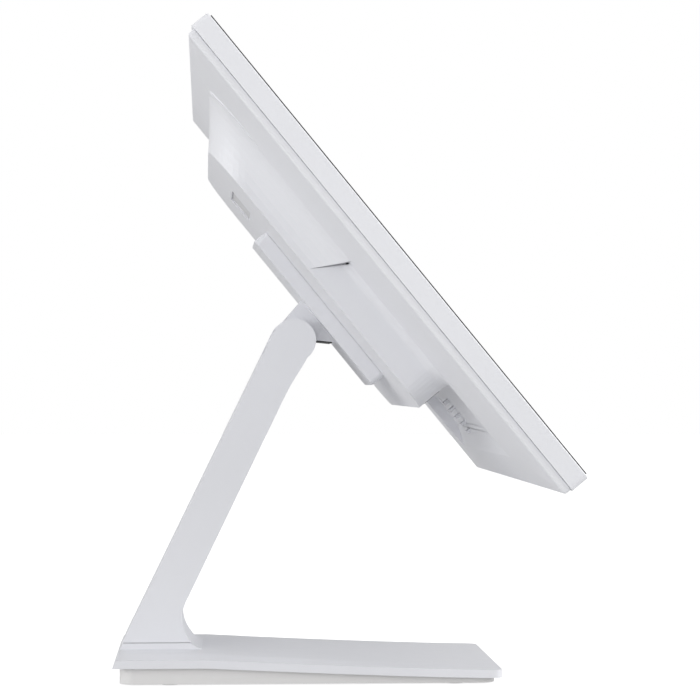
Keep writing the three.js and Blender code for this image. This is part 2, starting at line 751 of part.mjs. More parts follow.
function powerButton() {
  const flangeZ = BEZEL_INNER_BOTTOM + GAP;
  const stem = extrudeZ(buttonPlan(0), BUTTON_FACE_Z, flangeZ + 0.6);
  const flange = extrudeZ(buttonPlan(0.6), flangeZ, flangeZ + 1);
  return piece('power_button', join(stem, flange), WHITE_ABS);
}

function buttonSpring() {
  const z0 = BEZEL_INNER_BOTTOM + GAP + 1 + BUTTON_TRAVEL + 0.2;
  const profile = [
    [1.2, 0],
    [2, 0],
    [2, 2.4],
    [1.2, 2.4],
    [1.2, 0],
  ].map(([r, z]) => new THREE.Vector2(r, z));
  const geometry = new THREE.LatheGeometry(profile, 12);
  geometry.rotateX(Math.PI / 2);
  geometry.translate(BUTTON_X, BUTTON_Y, z0);
  return piece('button_spring', toSolid(geometry), ZINC);
}

function powerSwitch() {
  const z0 = BEZEL_INNER_BOTTOM + GAP + 1 + BUTTON_TRAVEL + 0.2 + 2.4 + GAP;
  const body = box(BUTTON_X - 3, BUTTON_X + 3, BUTTON_Y - 2.3, BUTTON_Y + 2.3, z0, z0 + 3);
  return piece('power_switch', body, BLACK_PLASTIC);
}

// ---------------------------------------------------------------- fasteners

// A countersunk or pan head screw along one axis; `sign` is the way its tip points.
function screw(name, axis, headRadius, shankRadius, head, tip, a, b, finish) {
  const sign = Math.sign(tip - head);
  const neck = head + sign * 1.8;
  const order = (p, q) => [Math.min(p, q), Math.max(p, q)];
  const [h0, h1] = order(head, neck);
  const radii = sign > 0 ? [headRadius, shankRadius] : [shankRadius, headRadius];
  const cone = rod(axis, radii[0], h0, h1, a, b, 10, radii[1]);
  const shank = rod(axis, shankRadius, ...order(neck - sign * 0.2, tip), a, b, 8);
  const slot = rod(axis, headRadius * 0.42, ...order(head - sign, head + sign * 0.9), a, b, 4);
  return piece(name, cut(join(cone, shank), slot), finish);
}

// ---------------------------------------------------------------- hinge

// The neck's straight underside, from the plate to the knuckle. A point on it is given by
// its distance `along` from the plate and `out` of the surface.
const NECK_END = {
  y: KNUCKLE_RADIUS * Math.cos(rad(NECK_TANGENT)),
  z: KNUCKLE_RADIUS * Math.sin(rad(NECK_TANGENT)),
};
const NECK_START = { y: HINGE_BACK_Y, z: NECK_END.z - (NECK_END.y - HINGE_BACK_Y) };

function neckPoint(along, out) {
  const diagonal = Math.SQRT1_2;
  return [
    NECK_START.y + (along + out) * diagonal,
    NECK_START.z + (along - out) * diagonal,
  ];
}

// A bar let into the neck's underside, grown by `grow`.
function neckBar(grow, proud) {
  const outline = polygon([
    neckPoint(2 - grow, -1.6 - grow),
    neckPoint(10 + grow, -1.6 - grow),
    neckPoint(10 + grow, proud),
    neckPoint(2 - grow, proud),
  ]);
  const half = KNUCKLE_HALF - 1.2 + grow;
  return extrudeX(outline, -half, half);
}

function cableGrommet() {
  return piece('cable_grommet', neckBar(0, 0.6), BLACK_PLASTIC);
}

function hingeBracket() {
  const y0 = HOUSING_BACK_Y + GAP;
  const section = { half: HINGE_HALF, top: HINGE_TOP, bottom: HINGE_BOTTOM, radius: 3 };
  const plate = loft([{ ...section, y: y0 }, { ...section, y: HINGE_BACK_Y }], 5);

  const neck = new THREE.Shape();
  neck.moveTo(HINGE_BACK_Y - 1, 14.5);
  neck.lineTo(...neckPoint(-Math.SQRT2, 0));
  neck.lineTo(NECK_END.y, NECK_END.z);
  neck.absarc(0, 0, KNUCKLE_RADIUS, rad(NECK_TANGENT), Math.PI / 2);
  neck.closePath();
  const knuckle = extrudeX(neck, -KNUCKLE_HALF, KNUCKLE_HALF, 18);
  const bore = rod('x', SHAFT_RADIUS + GAP + 0.1, -40, 40, 0, 0, 32);

  const holes = [neckBar(GAP, 3)];
  for (const x of [-HINGE_SCREW_X, HINGE_SCREW_X]) {
    for (const z of HINGE_SCREW_Z) {
      holes.push(rod('y', 2.4, y0 - 1, HINGE_SCREW_TIP_Y + GAP, x, z, 20));
    }
  }
  return piece('hinge_bracket', cut(join(plate, knuckle), bore, ...holes), WHITE_PAINT);
}

const BACKPLATE_THICK = 1.8;
const BACKPLATE_FRONT_Y = HOUSING_BACK_Y - WALL - GAP - BACKPLATE_THICK;

function hingeBackplate() {
  const y0 = BACKPLATE_FRONT_Y;
  const y1 = y0 + BACKPLATE_THICK;
  const halfX = HINGE_HALF - 1;
  let plate = box(-halfX, halfX, y0, y1, HINGE_BOTTOM + 4, HINGE_TOP - 4);
  for (const x of [-HINGE_SCREW_X, HINGE_SCREW_X]) {
    for (const z of HINGE_SCREW_Z) {
      plate = cut(plate, rod('y', 2.4, y0 - 1, y1 + 1, x, z, 12));
    }
  }
  return piece('hinge_backplate', plate, STEEL);
}

const LUG_IN = 21.2;
const LUG_OUT = 23.2;
const LUG_CLEARANCE = 1.2;

function hingeShaft() {
  const head = rod('x', 7, -LUG_OUT - 2.4, -LUG_OUT - GAP, 0, 0, 6);
  const shank = rod('x', SHAFT_RADIUS, -LUG_OUT - 1, LUG_OUT + 2.6, 0, 0, 24);
  return piece('hinge_shaft', join(head, shank), STEEL);
}

function hingeNut() {
  const body = rod('x', 7, LUG_OUT + GAP, LUG_OUT + 2.4, 0, 0, 6);
  const bore = rod('x', SHAFT_RADIUS + GAP, LUG_OUT - 1, LUG_OUT + 4, 0, 0, 24);
  return piece('hinge_nut', cut(body, bore), ZINC);
}

function frictionWasher(name, side) {
  const span = [side * (KNUCKLE_HALF + GAP), side * (LUG_IN - GAP)].sort((a, b) => a - b);
  const body = rod('x', 8, ...span, 0, 0, 24);
  const bore = rod('x', SHAFT_RADIUS + GAP, span[0] - 1, span[1] + 1, 0, 0, 24);
  return piece(name, cut(body, bore), STEEL);
}

// ---------------------------------------------------------------- arm

// Unit directions of the arm in world (y, z).
const ARM_UP = { y: -Math.sin(rad(ARM_LEAN)), z: Math.cos(rad(ARM_LEAN)) };

// World (y, z) of a point given in the arm frame.
function armPoint(y, z) {
  return [
    PIVOT_Y + y * ARM_UP.z + z * ARM_UP.y,
    PIVOT_Z - y * ARM_UP.y + z * ARM_UP.z,
  ];
}

// World y where the arm's face at `y` in the arm frame crosses the height `z`.
function armFaceAt(y, z) {
  const along = (z - PIVOT_Z + y * ARM_UP.y) / ARM_UP.z;
  return armPoint(y, along)[0];
}

const FOOT_FLARE_RADIUS = 19.6;
const FOOT_FLARE_TOP_Z = 40.8;

// Side outline of the arm in world (y, z), shrunk by `inset`, cut flat at `bottomZ`.
function armOutline(inset, bottomZ) {
  const shape = new THREE.Shape();
  const back = ARM_BACK - inset;
  const front = -ARM_FRONT + inset;
  const knob = KNOB_RADIUS - inset;
  const knobCentre = armPoint(ARM_BACK - KNOB_RADIUS, 0);
  shape.moveTo(armFaceAt(back, bottomZ), bottomZ);
  shape.lineTo(...armPoint(back, 0));
  const lean = rad(ARM_LEAN);
  shape.absarc(...knobCentre, knob, lean, lean + rad(206), false);
  shape.bezierCurveTo(
    ...armPoint(front - 0.8, -14),
    ...armPoint(front + 0.9, -20),
    ...armPoint(front + 0.6, -34),
  );
  const flareTop = [armFaceAt(front, FOOT_FLARE_TOP_Z), FOOT_FLARE_TOP_Z];
  const radius = FOOT_FLARE_RADIUS + inset;
  const centreY = flareTop[0] - radius * ARM_UP.z;
  const centreZ = flareTop[1] + radius * ARM_UP.y;
  const endAngle = -Math.asin((centreZ - bottomZ) / radius);
  shape.absarc(centreY, centreZ, radius, lean, endAngle, true);
  shape.closePath();
  return shape;
}

function halfSpace(side) {
  return side > 0 ? box(GAP / 2, 60, -200, 200, -10, 300) : box(-60, -GAP / 2, -200, 200, -10, 300);
}

function armFrameSolid(solid) {
  return solid.rotate([ARM_LEAN, 0, 0]).translate([0, PIVOT_Y, PIVOT_Z]);
}

function armShell(name, side) {
  const outer = extrudeX(armOutline(0, SEAM_Z + GAP), -ARM_HALF, ARM_HALF, 24);
  const insideOutline = armOutline(EAR_WALL, SEAM_Z - 4);
  const inner = extrudeX(insideOutline, -ARM_HALF + EAR_WALL, ARM_HALF - EAR_WALL, 12);
  const earWall = FORK_HALF + EAR_WALL;
  const forkBlock = armFrameSolid(
    box(-earWall, earWall, -30, 30, FORK_FLOOR - EAR_WALL, 40),
  );
  const slot = armFrameSolid(box(-FORK_HALF, FORK_HALF, -30, 30, FORK_FLOOR, 40));
  const washerHole = rod('x', 8.6, -earWall - 2, earWall + 2, PIVOT_Y, PIVOT_Z, 24);
  const solid = cut(outer, cut(inner, forkBlock), slot, washerHole);
  return piece(name, solid.intersect(halfSpace(side)), WHITE_ABS);
}

const CORE_INSET = EAR_WALL + LUG_CLEARANCE;
const FOOT_SCREWS = [
  [-16, 92],
  [16, 92],
  [-16, 104],
  [16, 104],
];
const CORE_FOOT_TOP = SEAT_Z + GAP + 3;

function armCore() {
  const flangeOutline = armOutline(CORE_INSET, SEAT_Z + GAP);
  const flange = extrudeX(flangeOutline, -LUG_OUT, LUG_OUT);
  const between = box(-LUG_IN, LUG_IN, -200, 200, 0, 400);
  const sides = cut(flange, between);
  const webBack = ARM_BACK - CORE_INSET;
  const web = flange.intersect(
    armFrameSolid(box(-LUG_OUT, LUG_OUT, webBack - 2, webBack + 5, -400, FORK_FLOOR - 4)),
  );
  const foot = flange.intersect(box(-LUG_OUT, LUG_OUT, -200, 200, 0, CORE_FOOT_TOP));
  const bore = rod('x', SHAFT_RADIUS + GAP, -40, 40, PIVOT_Y, PIVOT_Z, 24);
  const holes = FOOT_SCREWS.map(([x, y]) => rod('z', 2.3, 10, 22, x, y, 12));
  return piece('arm_core', cut(join(sides, web, foot), bore, ...holes), STEEL);
}

// World y of the front of the arm's foot at the height `z`.
function armOutlineFoot(z) {
  const top = armFaceAt(-ARM_FRONT, FOOT_FLARE_TOP_Z);
  const centreY = top - FOOT_FLARE_RADIUS * ARM_UP.z;
  const centreZ = FOOT_FLARE_TOP_Z + FOOT_FLARE_RADIUS * ARM_UP.y;
  return centreY + Math.sqrt(FOOT_FLARE_RADIUS ** 2 - (centreZ - z) ** 2);
}

// ---------------------------------------------------------------- base

// Underside of the plate along its length: level at the back, easing down to the front.
const PLATE_LEVEL_Y = 62.5;
const PLATE_BACK_Z = 9.4;
const PLATE_FRONT_Z = 3.5;
const SHOULDER = { from: 46, to: 63 };   // the plate's top falls between these |x|

function plateUnder(y) {
  const k = Math.min(Math.max((PLATE_LEVEL_Y - y) / (PLATE_LEVEL_Y - PLATE_FRONT), 0), 1);
  return PLATE_FRONT_Z + (PLATE_BACK_Z - PLATE_FRONT_Z) * (1 - k) ** 1.35;
}

// The plate's top swells towards its middle, most at the back and not at all in front.
function plateTop(x, y) {
  const edge = plateUnder(y) + PLATE_THICK;
  const along = THREE.MathUtils.smoothstep(y, PLATE_FRONT, 70);
  const across = 1 - THREE.MathUtils.smoothstep(Math.abs(x), SHOULDER.from, SHOULDER.to);
  return edge + (SEAT_Z - PLATE_BACK_Z - PLATE_THICK) * along * across;
}

// A closed block over a grid in x and y, between two height functions.
function heightBlock(xs, ys, topAt, bottomAt) {
  const positions = [];
  const index = [];
  const layer = xs.length * ys.length;
  for (const heightAt of [bottomAt, topAt]) {
    for (const y of ys) {
      for (const x of xs) positions.push(x, y, heightAt(x, y));
    }
  }
  const at = (i, j, level) => level * layer + j * xs.length + i;
  const quad = (a, b, c, d) => index.push(a, b, c, a, c, d);
  for (let j = 0; j < ys.length - 1; j += 1) {
    for (let i = 0; i < xs.length - 1; i += 1) {
      quad(at(i, j, 1), at(i + 1, j, 1), at(i + 1, j + 1, 1), at(i, j + 1, 1));
      quad(at(i, j, 0), at(i, j + 1, 0), at(i + 1, j + 1, 0), at(i + 1, j, 0));
    }
  }
  for (let j = 0; j < ys.length - 1; j += 1) {
    const i = xs.length - 1;
    quad(at(0, j, 0), at(0, j, 1), at(0, j + 1, 1), at(0, j + 1, 0));
    quad(at(i, j, 0), at(i, j + 1, 0), at(i, j + 1, 1), at(i, j, 1));
  }
  for (let i = 0; i < xs.length - 1; i += 1) {
    const j = ys.length - 1;
    quad(at(i, 0, 0), at(i + 1, 0, 0), at(i + 1, 0, 1), at(i, 0, 1));
    quad(at(i, j, 0), at(i, j, 1), at(i + 1, j, 1), at(i + 1, j, 0));
  }
  const geometry = new THREE.BufferGeometry();
  geometry.setAttribute('position', new THREE.Float32BufferAttribute(positions, 3));
  geometry.setIndex(index);
  return toSolid(geometry);
}

function steps(from, to, count) {
  return Array.from({ length: count + 1 }, (_, i) => from + ((to - from) * i) / count);
}

const PLATE_BACK = armFaceAt(ARM_BACK, PLATE_BACK_Z) - 0.6;
const BASE_SCREWS = [
  [-50, 98],
  [50, 98],
  [-50, 0],
  [50, 0],
];

// The low boss that the arm's casing stands on. It is open in the middle, where the arm's
// steel foot sits on the plate, and eases forward onto the plate.
function armBoss() {
  const frontTop = armOutlineFoot(SEAM_Z + GAP);
  const rootZ = SEAT_Z - 1;
  const outline = new THREE.Shape();
  outline.moveTo(armFaceAt(ARM_BACK, rootZ), rootZ);
  outline.lineTo(armFaceAt(ARM_BACK, SEAM_Z), SEAM_Z);
  outline.lineTo(frontTop, SEAM_Z);
  outline.quadraticCurveTo(frontTop - 2.2, SEAT_Z + 0.4, frontTop - 8, SEAT_Z - 0.4);
  outline.lineTo(frontTop - 8, rootZ);
  outline.closePath();
  const outer = extrudeX(outline, -ARM_HALF, ARM_HALF);
  const holeHalf = ARM_HALF - EAR_WALL;
  const hole = extrudeX(armOutline(EAR_WALL, SEAT_Z), -holeHalf, holeHalf);
  return cut(outer, hole);
}

function basePlate() {
  const shoulder = steps(SHOULDER.from, SHOULDER.to, 6);
  const right = [ARM_HALF + 2, ...shoulder, PLATE_HALF];
  const xs = [...right.map((x) => -x).reverse(), 0, ...right];
  const ys = steps(PLATE_FRONT, PLATE_BACK + 2, 16);
  const block = heightBlock(xs, ys, plateTop, (x, y) => plateUnder(y));
  const plan = extrudeZ(
    roundedRect(-PLATE_HALF, PLATE_HALF, PLATE_FRONT, PLATE_BACK + 4, 5), 0, 30, 6,
  );
  const backCut = extrudeX(
    polygon([
      [PLATE_BACK, 0],
      [PLATE_BACK, PLATE_BACK_Z],
      [armFaceAt(ARM_BACK, 30), 30],
      [PLATE_FRONT - 10, 30],
      [PLATE_FRONT - 10, 0],
    ]),
    -PLATE_HALF - 5,
    PLATE_HALF + 5,
  );
  const holes = [];
  for (const [x, y] of FOOT_SCREWS) {
    holes.push(rod('z', 2.3, 0, 20, x, y, 12));
    holes.push(rod('z', 4.2, 0, PLATE_BACK_Z + 2.4, x, y, 14));
  }
  for (const [x, y] of BASE_SCREWS) {
    holes.push(rod('z', 1.8, 0, plateUnder(y) + 2.6, x, y, 12));
  }
  const body = join(block.intersect(plan), armBoss()).intersect(backCut);
  return piece('base_plate', cut(body, ...holes), WHITE_PAINT);
}

const PAN_FRONT = PLATE_FRONT + PAN_INSET + 0.5;
const PAN_BACK = PLATE_BACK - PAN_INSET - 0.6;
const PAN_HALF = PLATE_HALF - PAN_INSET;
const RUBBER_FEET = [
  [-48, 84],
  [48, 84],
  [-48, -66],
  [48, -66],
];
const FOOT_RADIUS = 8;
const BALLAST = { half: 44, front: 26, back: 84 };

function basePan() {
  const ys = steps(PAN_FRONT, PAN_BACK, 12);
  const block = heightBlock([-PAN_HALF, PAN_HALF], ys,
    (x, y) => plateUnder(y) - GAP,
    () => PAN_FLOOR_Z);
  const plan = extrudeZ(roundedRect(-PAN_HALF, PAN_HALF, PAN_FRONT, PAN_BACK, 8), 0, 30, 8);
  const hollow = box(-PAN_HALF + 16, PAN_HALF - 16, BALLAST.front - 1, BALLAST.back + 1, 2.6, 30);
  const headRoom = box(-26, 26, BALLAST.back, PAN_BACK - 3, 2.6, 30);
  const holes = [hollow, headRoom];
  for (const [x, y] of RUBBER_FEET) {
    holes.push(rod('z', FOOT_RADIUS + GAP, 0, FOOT_HEIGHT + GAP, x, y, 20));
  }
  for (const [x, y] of BASE_SCREWS) {
    holes.push(rod('z', 2, 0, 30, x, y, 12));
    holes.push(rod('z', 3.8, 0, PAN_FLOOR_Z + 2.4, x, y, 14));
  }
  return piece('base_pan', cut(block.intersect(plan), ...holes), WARM_ABS);
}

function baseWeight() {
  const under = plateUnder(BALLAST.front) - GAP - 0.2;
  const slab = box(
    -BALLAST.half, BALLAST.half,
    BALLAST.front, BALLAST.back,
    2.6 + GAP, under,
  );
  return piece('base_weight', slab, STEEL);
}

function rubberFoot(name, x, y) {
  return piece(name, rod('z', FOOT_RADIUS, 0, FOOT_HEIGHT, x, y, 32), BLACK_RUBBER);
}

// ---------------------------------------------------------------- assembly

const head = new THREE.Group();
head.position.set(0, PIVOT_Y, PIVOT_Z);
head.rotation.x = -rad(SCREEN_LEAN);
head.add(
  touchGlass(),
  glassGasket(),
  lcdPanel(),
  frontBezel(),
  chassisPlate(),
  rearCover(),
  accessoryCover(),
  mainBoard(),
  heatSink(),
  storageDrive(),
  speaker('speaker_left', -1),
  speaker('speaker_right', 1),
  ioBracket(),
  ...PORTS.map(port),
  powerButton(),
  buttonSpring(),
  powerSwitch(),
  hingeBracket(),
  cableGrommet(),
  hingeBackplate(),
);

let hingeScrewCount = 0;
for (const x of [-HINGE_SCREW_X, HINGE_SCREW_X]) {
  for (const z of HINGE_SCREW_Z) {
    hingeScrewCount += 1;
    head.add(screw(
      `hinge_screw_${hingeScrewCount}`, 'y', 4, 2,
      BACKPLATE_FRONT_Y - 2.1, HINGE_SCREW_TIP_Y, x, z, ZINC,
    ));
  }
}

let caseScrewCount = 0;
for (const { x, z, headY } of [RECESS_SCREW, WELL_SCREW]) {
  for (const side of [-1, 1]) {
    caseScrewCount += 1;
    head.add(screw(
      `case_screw_${caseScrewCount}`, 'y', CASE_SCREW_RADIUS, 1.5,
      headY, CASE_SCREW_TIP_Y, side * x, z, ZINC,
    ));
  }
}

const hingePin = new THREE.Group();
hingePin.position.set(0, PIVOT_Y, PIVOT_Z);
hingePin.add(
  hingeShaft(),
  hingeNut(),
  frictionWasher('friction_washer_left', -1),
  frictionWasher('friction_washer_right', 1),
);

const stand = new THREE.Group();
stand.add(
  armCore(),
  armShell('arm_shell_left', -1),
  armShell('arm_shell_right', 1),
  basePlate(),
  basePan(),
  baseWeight(),
);
FOOT_SCREWS.forEach(([x, y], i) => {
  stand.add(screw(
    `arm_screw_${i + 1}`, 'z', 3.9, 2,
    PLATE_BACK_Z + 0.4, CORE_FOOT_TOP + 0.5, x, y, ZINC,
  ));
});
BASE_SCREWS.forEach(([x, y], i) => {
  stand.add(screw(
    `base_screw_${i + 1}`, 'z', 3.4, 1.5,
    PAN_FLOOR_Z + 0.5, plateUnder(y) + 2.2, x, y, ZINC,
  ));
});
RUBBER_FEET.forEach(([x, y], i) => {
  stand.add(rubberFoot(`rubber_foot_${i + 1}`, x, y));
});

const terminal = new THREE.Group();
terminal.add(head, hingePin, stand);
terminal.position.y = FOOTPRINT_SHIFT;

export default terminal;
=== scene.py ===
import json
import math

import bmesh
import bpy
from mathutils import Matrix, Vector


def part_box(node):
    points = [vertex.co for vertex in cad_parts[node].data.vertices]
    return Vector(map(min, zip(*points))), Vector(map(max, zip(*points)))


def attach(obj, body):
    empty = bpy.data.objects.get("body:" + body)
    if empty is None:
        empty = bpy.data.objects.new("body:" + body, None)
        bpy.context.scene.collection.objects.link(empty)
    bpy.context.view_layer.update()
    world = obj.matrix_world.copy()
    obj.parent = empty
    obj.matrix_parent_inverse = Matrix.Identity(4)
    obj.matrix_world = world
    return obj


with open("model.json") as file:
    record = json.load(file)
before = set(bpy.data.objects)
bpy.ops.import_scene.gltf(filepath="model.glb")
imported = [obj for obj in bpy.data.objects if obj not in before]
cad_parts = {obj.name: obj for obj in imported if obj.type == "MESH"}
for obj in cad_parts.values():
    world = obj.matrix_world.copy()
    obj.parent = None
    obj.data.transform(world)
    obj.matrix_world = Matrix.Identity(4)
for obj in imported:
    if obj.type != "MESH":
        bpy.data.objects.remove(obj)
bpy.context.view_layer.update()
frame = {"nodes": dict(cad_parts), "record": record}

# ---------------------------------------------------------------- the head's own directions

JOINTS = {joint["name"]: joint for joint in frame["record"]["behaviour"]["joints"]}
HEAD_ORIGIN = Vector(JOINTS["head_tilt"]["pos_m"])
HEAD_UP = Vector(JOINTS["power_button_press"]["axis"]).normalized()
HEAD_BACK = HEAD_UP.cross(Vector((1, 0, 0)))
MM = 0.001                           # metres in a millimetre


# ---------------------------------------------------------------- camera, light and floor

CAMERA_PLACE = Vector((-1.2966, 0.0662, 0.1571))
CAMERA_YAW = math.radians(3.474)     # turned from +X towards the operator's side
CAMERA_PITCH = math.radians(0.843)
CAMERA_ROLL = math.radians(0.071)
CAMERA_LENS = 121.47                 # millimetres, as is the sensor
CAMERA_SENSOR = 36
CAMERA_CLIP = (0.05, 20)

AIM = Vector((0, 0, 0.17))           # the point that every soft box faces
WORLD_STRENGTH = 0.5
FLOOR_HALF = 6.0
FLOOR_GREY = 0.5
FLOOR_GLOW = 0.09                    # as a light on the object
FLOOR_GLOW_SEEN = 0.85               # as the camera sees it
LIGHTS = [
    # name, place, width and height, watts
    ("side", (-1.7, -0.1, 0.4), (1.8, 1.2), 3.3),
    ("front_high", (-1.0, -1.2, 1.4), (1.4, 1.2), 7.4),
    ("back_low", (-0.4, 1.5, 0.25), (1.4, 0.5), 6.2),
    ("top", (0, 0, 1.9), (1.6, 1.6), 3.6),
    ("front", (-0.2, -1.6, 0.6), (1.4, 1.0), 15.5),
    ("side_back", (-1.2, 1.2, 0.6), (1.2, 1.0), 6),
]


def make_camera():
    camera = bpy.data.objects.new("camera", bpy.data.cameras.new("camera"))
    camera.data.lens = CAMERA_LENS
    camera.data.sensor_width = CAMERA_SENSOR
    camera.data.clip_start, camera.data.clip_end = CAMERA_CLIP
    level = math.cos(CAMERA_PITCH)
    ahead = Vector((
        level * math.cos(CAMERA_YAW),
        -level * math.sin(CAMERA_YAW),
        math.sin(CAMERA_PITCH),
    ))
    turn = ahead.to_track_quat("-Z", "Y").to_matrix().to_4x4()
    roll = Matrix.Rotation(CAMERA_ROLL, 4, "Z")
    camera.matrix_world = Matrix.Translation(CAMERA_PLACE) @ turn @ roll
    bpy.context.scene.collection.objects.link(camera)
    bpy.context.scene.camera = camera


def soft_box(name, place, size, watts):
    light = bpy.data.lights.new(name, "AREA")
    light.shape = "RECTANGLE"
    light.size, light.size_y = size
    light.energy = watts
    holder = bpy.data.objects.new(name, light)
    holder.location = place
    holder.rotation_euler = (AIM - Vector(place)).to_track_quat("-Z", "Y").to_euler()
    holder.visible_camera = False
    bpy.context.scene.collection.objects.link(holder)


def make_world():
    """A white studio: white to look at, dimmer as a light, so that shading stays soft."""
    world = bpy.data.worlds.new("studio")
    bpy.context.scene.world = world
    world.use_nodes = True
    tree = world.node_tree
    lighting = tree.nodes["Background"]
    lighting.inputs["Color"].default_value = (1, 1, 1, 1)
    lighting.inputs["Strength"].default_value = WORLD_STRENGTH
    backdrop = tree.nodes.new("ShaderNodeBackground")
    backdrop.inputs["Color"].default_value = (1, 1, 1, 1)
    mix = tree.nodes.new("ShaderNodeMixShader")
    rays = tree.nodes.new("ShaderNodeLightPath")
    tree.links.new(rays.outputs["Is Camera Ray"], mix.inputs[0])
    tree.links.new(lighting.outputs[0], mix.inputs[1])
    tree.links.new(backdrop.outputs[0], mix.inputs[2])
    tree.links.new(mix.outputs[0], tree.nodes["World Output"].inputs["Surface"])


def set_floor_shader(shader, glow):
    shader.inputs["Base Color"].default_value = (FLOOR_GREY, FLOOR_GREY, FLOOR_GREY, 1)
    shader.inputs["Roughness"].default_value = 1
    shader.inputs["Emission Color"].default_value = (1, 1, 1, 1)
    shader.inputs["Emission Strength"].default_value = glow


def floor_material():
    """Pale floor: bright to look at, dimmer as a light on the object above it."""
    mat = bpy.data.materials.new("floor")
    mat.use_nodes = True
    tree = mat.node_tree
    dull = tree.nodes["Principled BSDF"]
    set_floor_shader(dull, FLOOR_GLOW)
    bright = tree.nodes.new("ShaderNodeBsdfPrincipled")
    set_floor_shader(bright, FLOOR_GLOW_SEEN)
    mix = tree.nodes.new("ShaderNodeMixShader")
    rays = tree.nodes.new("ShaderNodeLightPath")
    tree.links.new(rays.outputs["Is Camera Ray"], mix.inputs[0])
    tree.links.new(dull.outputs[0], mix.inputs[1])
    tree.links.new(bright.outputs[0], mix.inputs[2])
    tree.links.new(mix.outputs[0], tree.nodes["Material Output"].inputs["Surface"])
    return mat


def make_floor():
    mesh = bpy.data.meshes.new("floor")
    half = FLOOR_HALF
    corners = [(-half, -half, 0), (half, -half, 0), (half, half, 0), (-half, half, 0)]
    mesh.from_pydata(corners, [], [(0, 1, 2, 3)])
    mesh.materials.append(floor_material())
    floor = bpy.data.objects.new("floor", mesh)
    bpy.context.scene.collection.objects.link(floor)


# ---------------------------------------------------------------- material helpers

NOISE_RANGE = (0.3, 0.7)     # where nearly all values of a noise lie
TONE_DRIFT = 0.985           # darkest tone of an even surface, as a share of its colour


def blank(name, roughness, metallic=0.0):
    mat = bpy.data.materials.new(name)
    mat.use_nodes = True
    shader = mat.node_tree.nodes["Principled BSDF"]
    shader.inputs["Roughness"].default_value = roughness
    shader.inputs["Metallic"].default_value = metallic
    return mat, mat.node_tree, shader


def local_coords(tree, stretch=(1, 1, 1)):
    """The piece's own coordinates in metres, which move with it."""
    coords = tree.nodes.new("ShaderNodeTexCoord")
    mapping = tree.nodes.new("ShaderNodeMapping")
    mapping.inputs["Scale"].default_value = stretch
    tree.links.new(coords.outputs["Object"], mapping.inputs["Vector"])
    return mapping.outputs["Vector"]


def noise(tree, per_metre, detail=2.0, stretch=(1, 1, 1)):
    texture = tree.nodes.new("ShaderNodeTexNoise")
    texture.inputs["Scale"].default_value = per_metre
    texture.inputs["Detail"].default_value = detail
    tree.links.new(local_coords(tree, stretch), texture.inputs["Vector"])
    return texture.outputs["Fac"]


def spread(tree, value, low, high):
    """Stretches the middle of a noise over the values from low to high."""
    node = tree.nodes.new("ShaderNodeMapRange")
    node.inputs["From Min"].default_value = NOISE_RANGE[0]
    node.inputs["From Max"].default_value = NOISE_RANGE[1]
    node.inputs["To Min"].default_value = low
    node.inputs["To Max"].default_value = high
    tree.links.new(value, node.inputs["Value"])
    return node.outputs["Result"]


def blend_colours(tree, factor, first, second):
    node = tree.nodes.new("ShaderNodeMix")
    node.data_type = "RGBA"
    node.inputs["A"].default_value = (*first, 1)
    node.inputs["B"].default_value = (*second, 1)
    tree.links.new(factor, node.inputs["Factor"])
    return node.outputs["Result"]


def vary_colour(tree, shader, per_metre, first, second, detail=2.0, stretch=(1, 1, 1)):
    factor = spread(tree, noise(tree, per_metre, detail, stretch), 0, 1)
    colour = blend_colours(tree, factor, first, second)
    tree.links.new(colour, shader.inputs["Base Color"])


def vary_roughness(tree, shader, per_metre, low, high, stretch=(1, 1, 1)):
    value = spread(tree, noise(tree, per_metre, 3.0, stretch), low, high)
    tree.links.new(value, shader.inputs["Roughness"])


def add_bump(tree, shader, height, strength, depth):
    bump = tree.nodes.new("ShaderNodeBump")
    bump.inputs["Strength"].default_value = strength
    bump.inputs["Distance"].default_value = depth
    tree.links.new(height, bump.inputs["Height"])
    tree.links.new(bump.outputs["Normal"], shader.inputs["Normal"])


def shaded(colour, factor):
    return tuple(channel * factor for channel in colour)


# ---------------------------------------------------------------- materials
# Scales count features per metre, and bump depths are in metres.

MOULD_GRAIN = 2400
MOULD_DEPTH = 0.00003

DISPLAY_HALF_WIDTH = 0.1521
DISPLAY_HALF_HEIGHT = 0.1141
PRINT_BLACK = (0.0035, 0.0035, 0.004)
PANEL_BLACK = (0.011, 0.012, 0.015)

WHITE = (0.80, 0.806, 0.838)


def moulded(name, colour, roughness):
    """Plastic out of an etched mould: a fine even grain and a very slight drift of tone."""
    mat, tree, shader = blank(name, roughness)
    vary_colour(tree, shader, 11, shaded(colour, TONE_DRIFT), colour)
    vary_roughness(tree, shader, 70, roughness - 0.03, roughness + 0.04)
    add_bump(tree, shader, noise(tree, MOULD_GRAIN, 1.0), 0.35, MOULD_DEPTH)
    shader.inputs["Specular IOR Level"].default_value = 0.4
    return mat


def painted(name, colour, roughness):
    """Satin powder coat: a slow orange-peel ripple under a light sheen."""
    mat, tree, shader = blank(name, roughness)
    vary_colour(tree, shader, 9, shaded(colour, TONE_DRIFT), colour)
    vary_roughness(tree, shader, 120, roughness - 0.04, roughness + 0.04)
    add_bump(tree, shader, noise(tree, 650, 2.0), 0.3, 0.00004)
    shader.inputs["Coat Weight"].default_value = 0.12
    shader.inputs["Coat Roughness"].default_value = 0.35
    return mat


def brushed(name, colour, roughness, stretch=(40, 1, 1)):
    """Bare metal with fine parallel scratches."""
    mat, tree, shader = blank(name, roughness, 1.0)
    vary_colour(tree, shader, 60, shaded(colour, 0.82), colour, 3.0, stretch)
    vary_roughness(tree, shader, 90, roughness - 0.08, roughness + 0.1, stretch)
    add_bump(tree, shader, noise(tree, 140, 2.0, stretch), 0.25, 0.00002)
    return mat


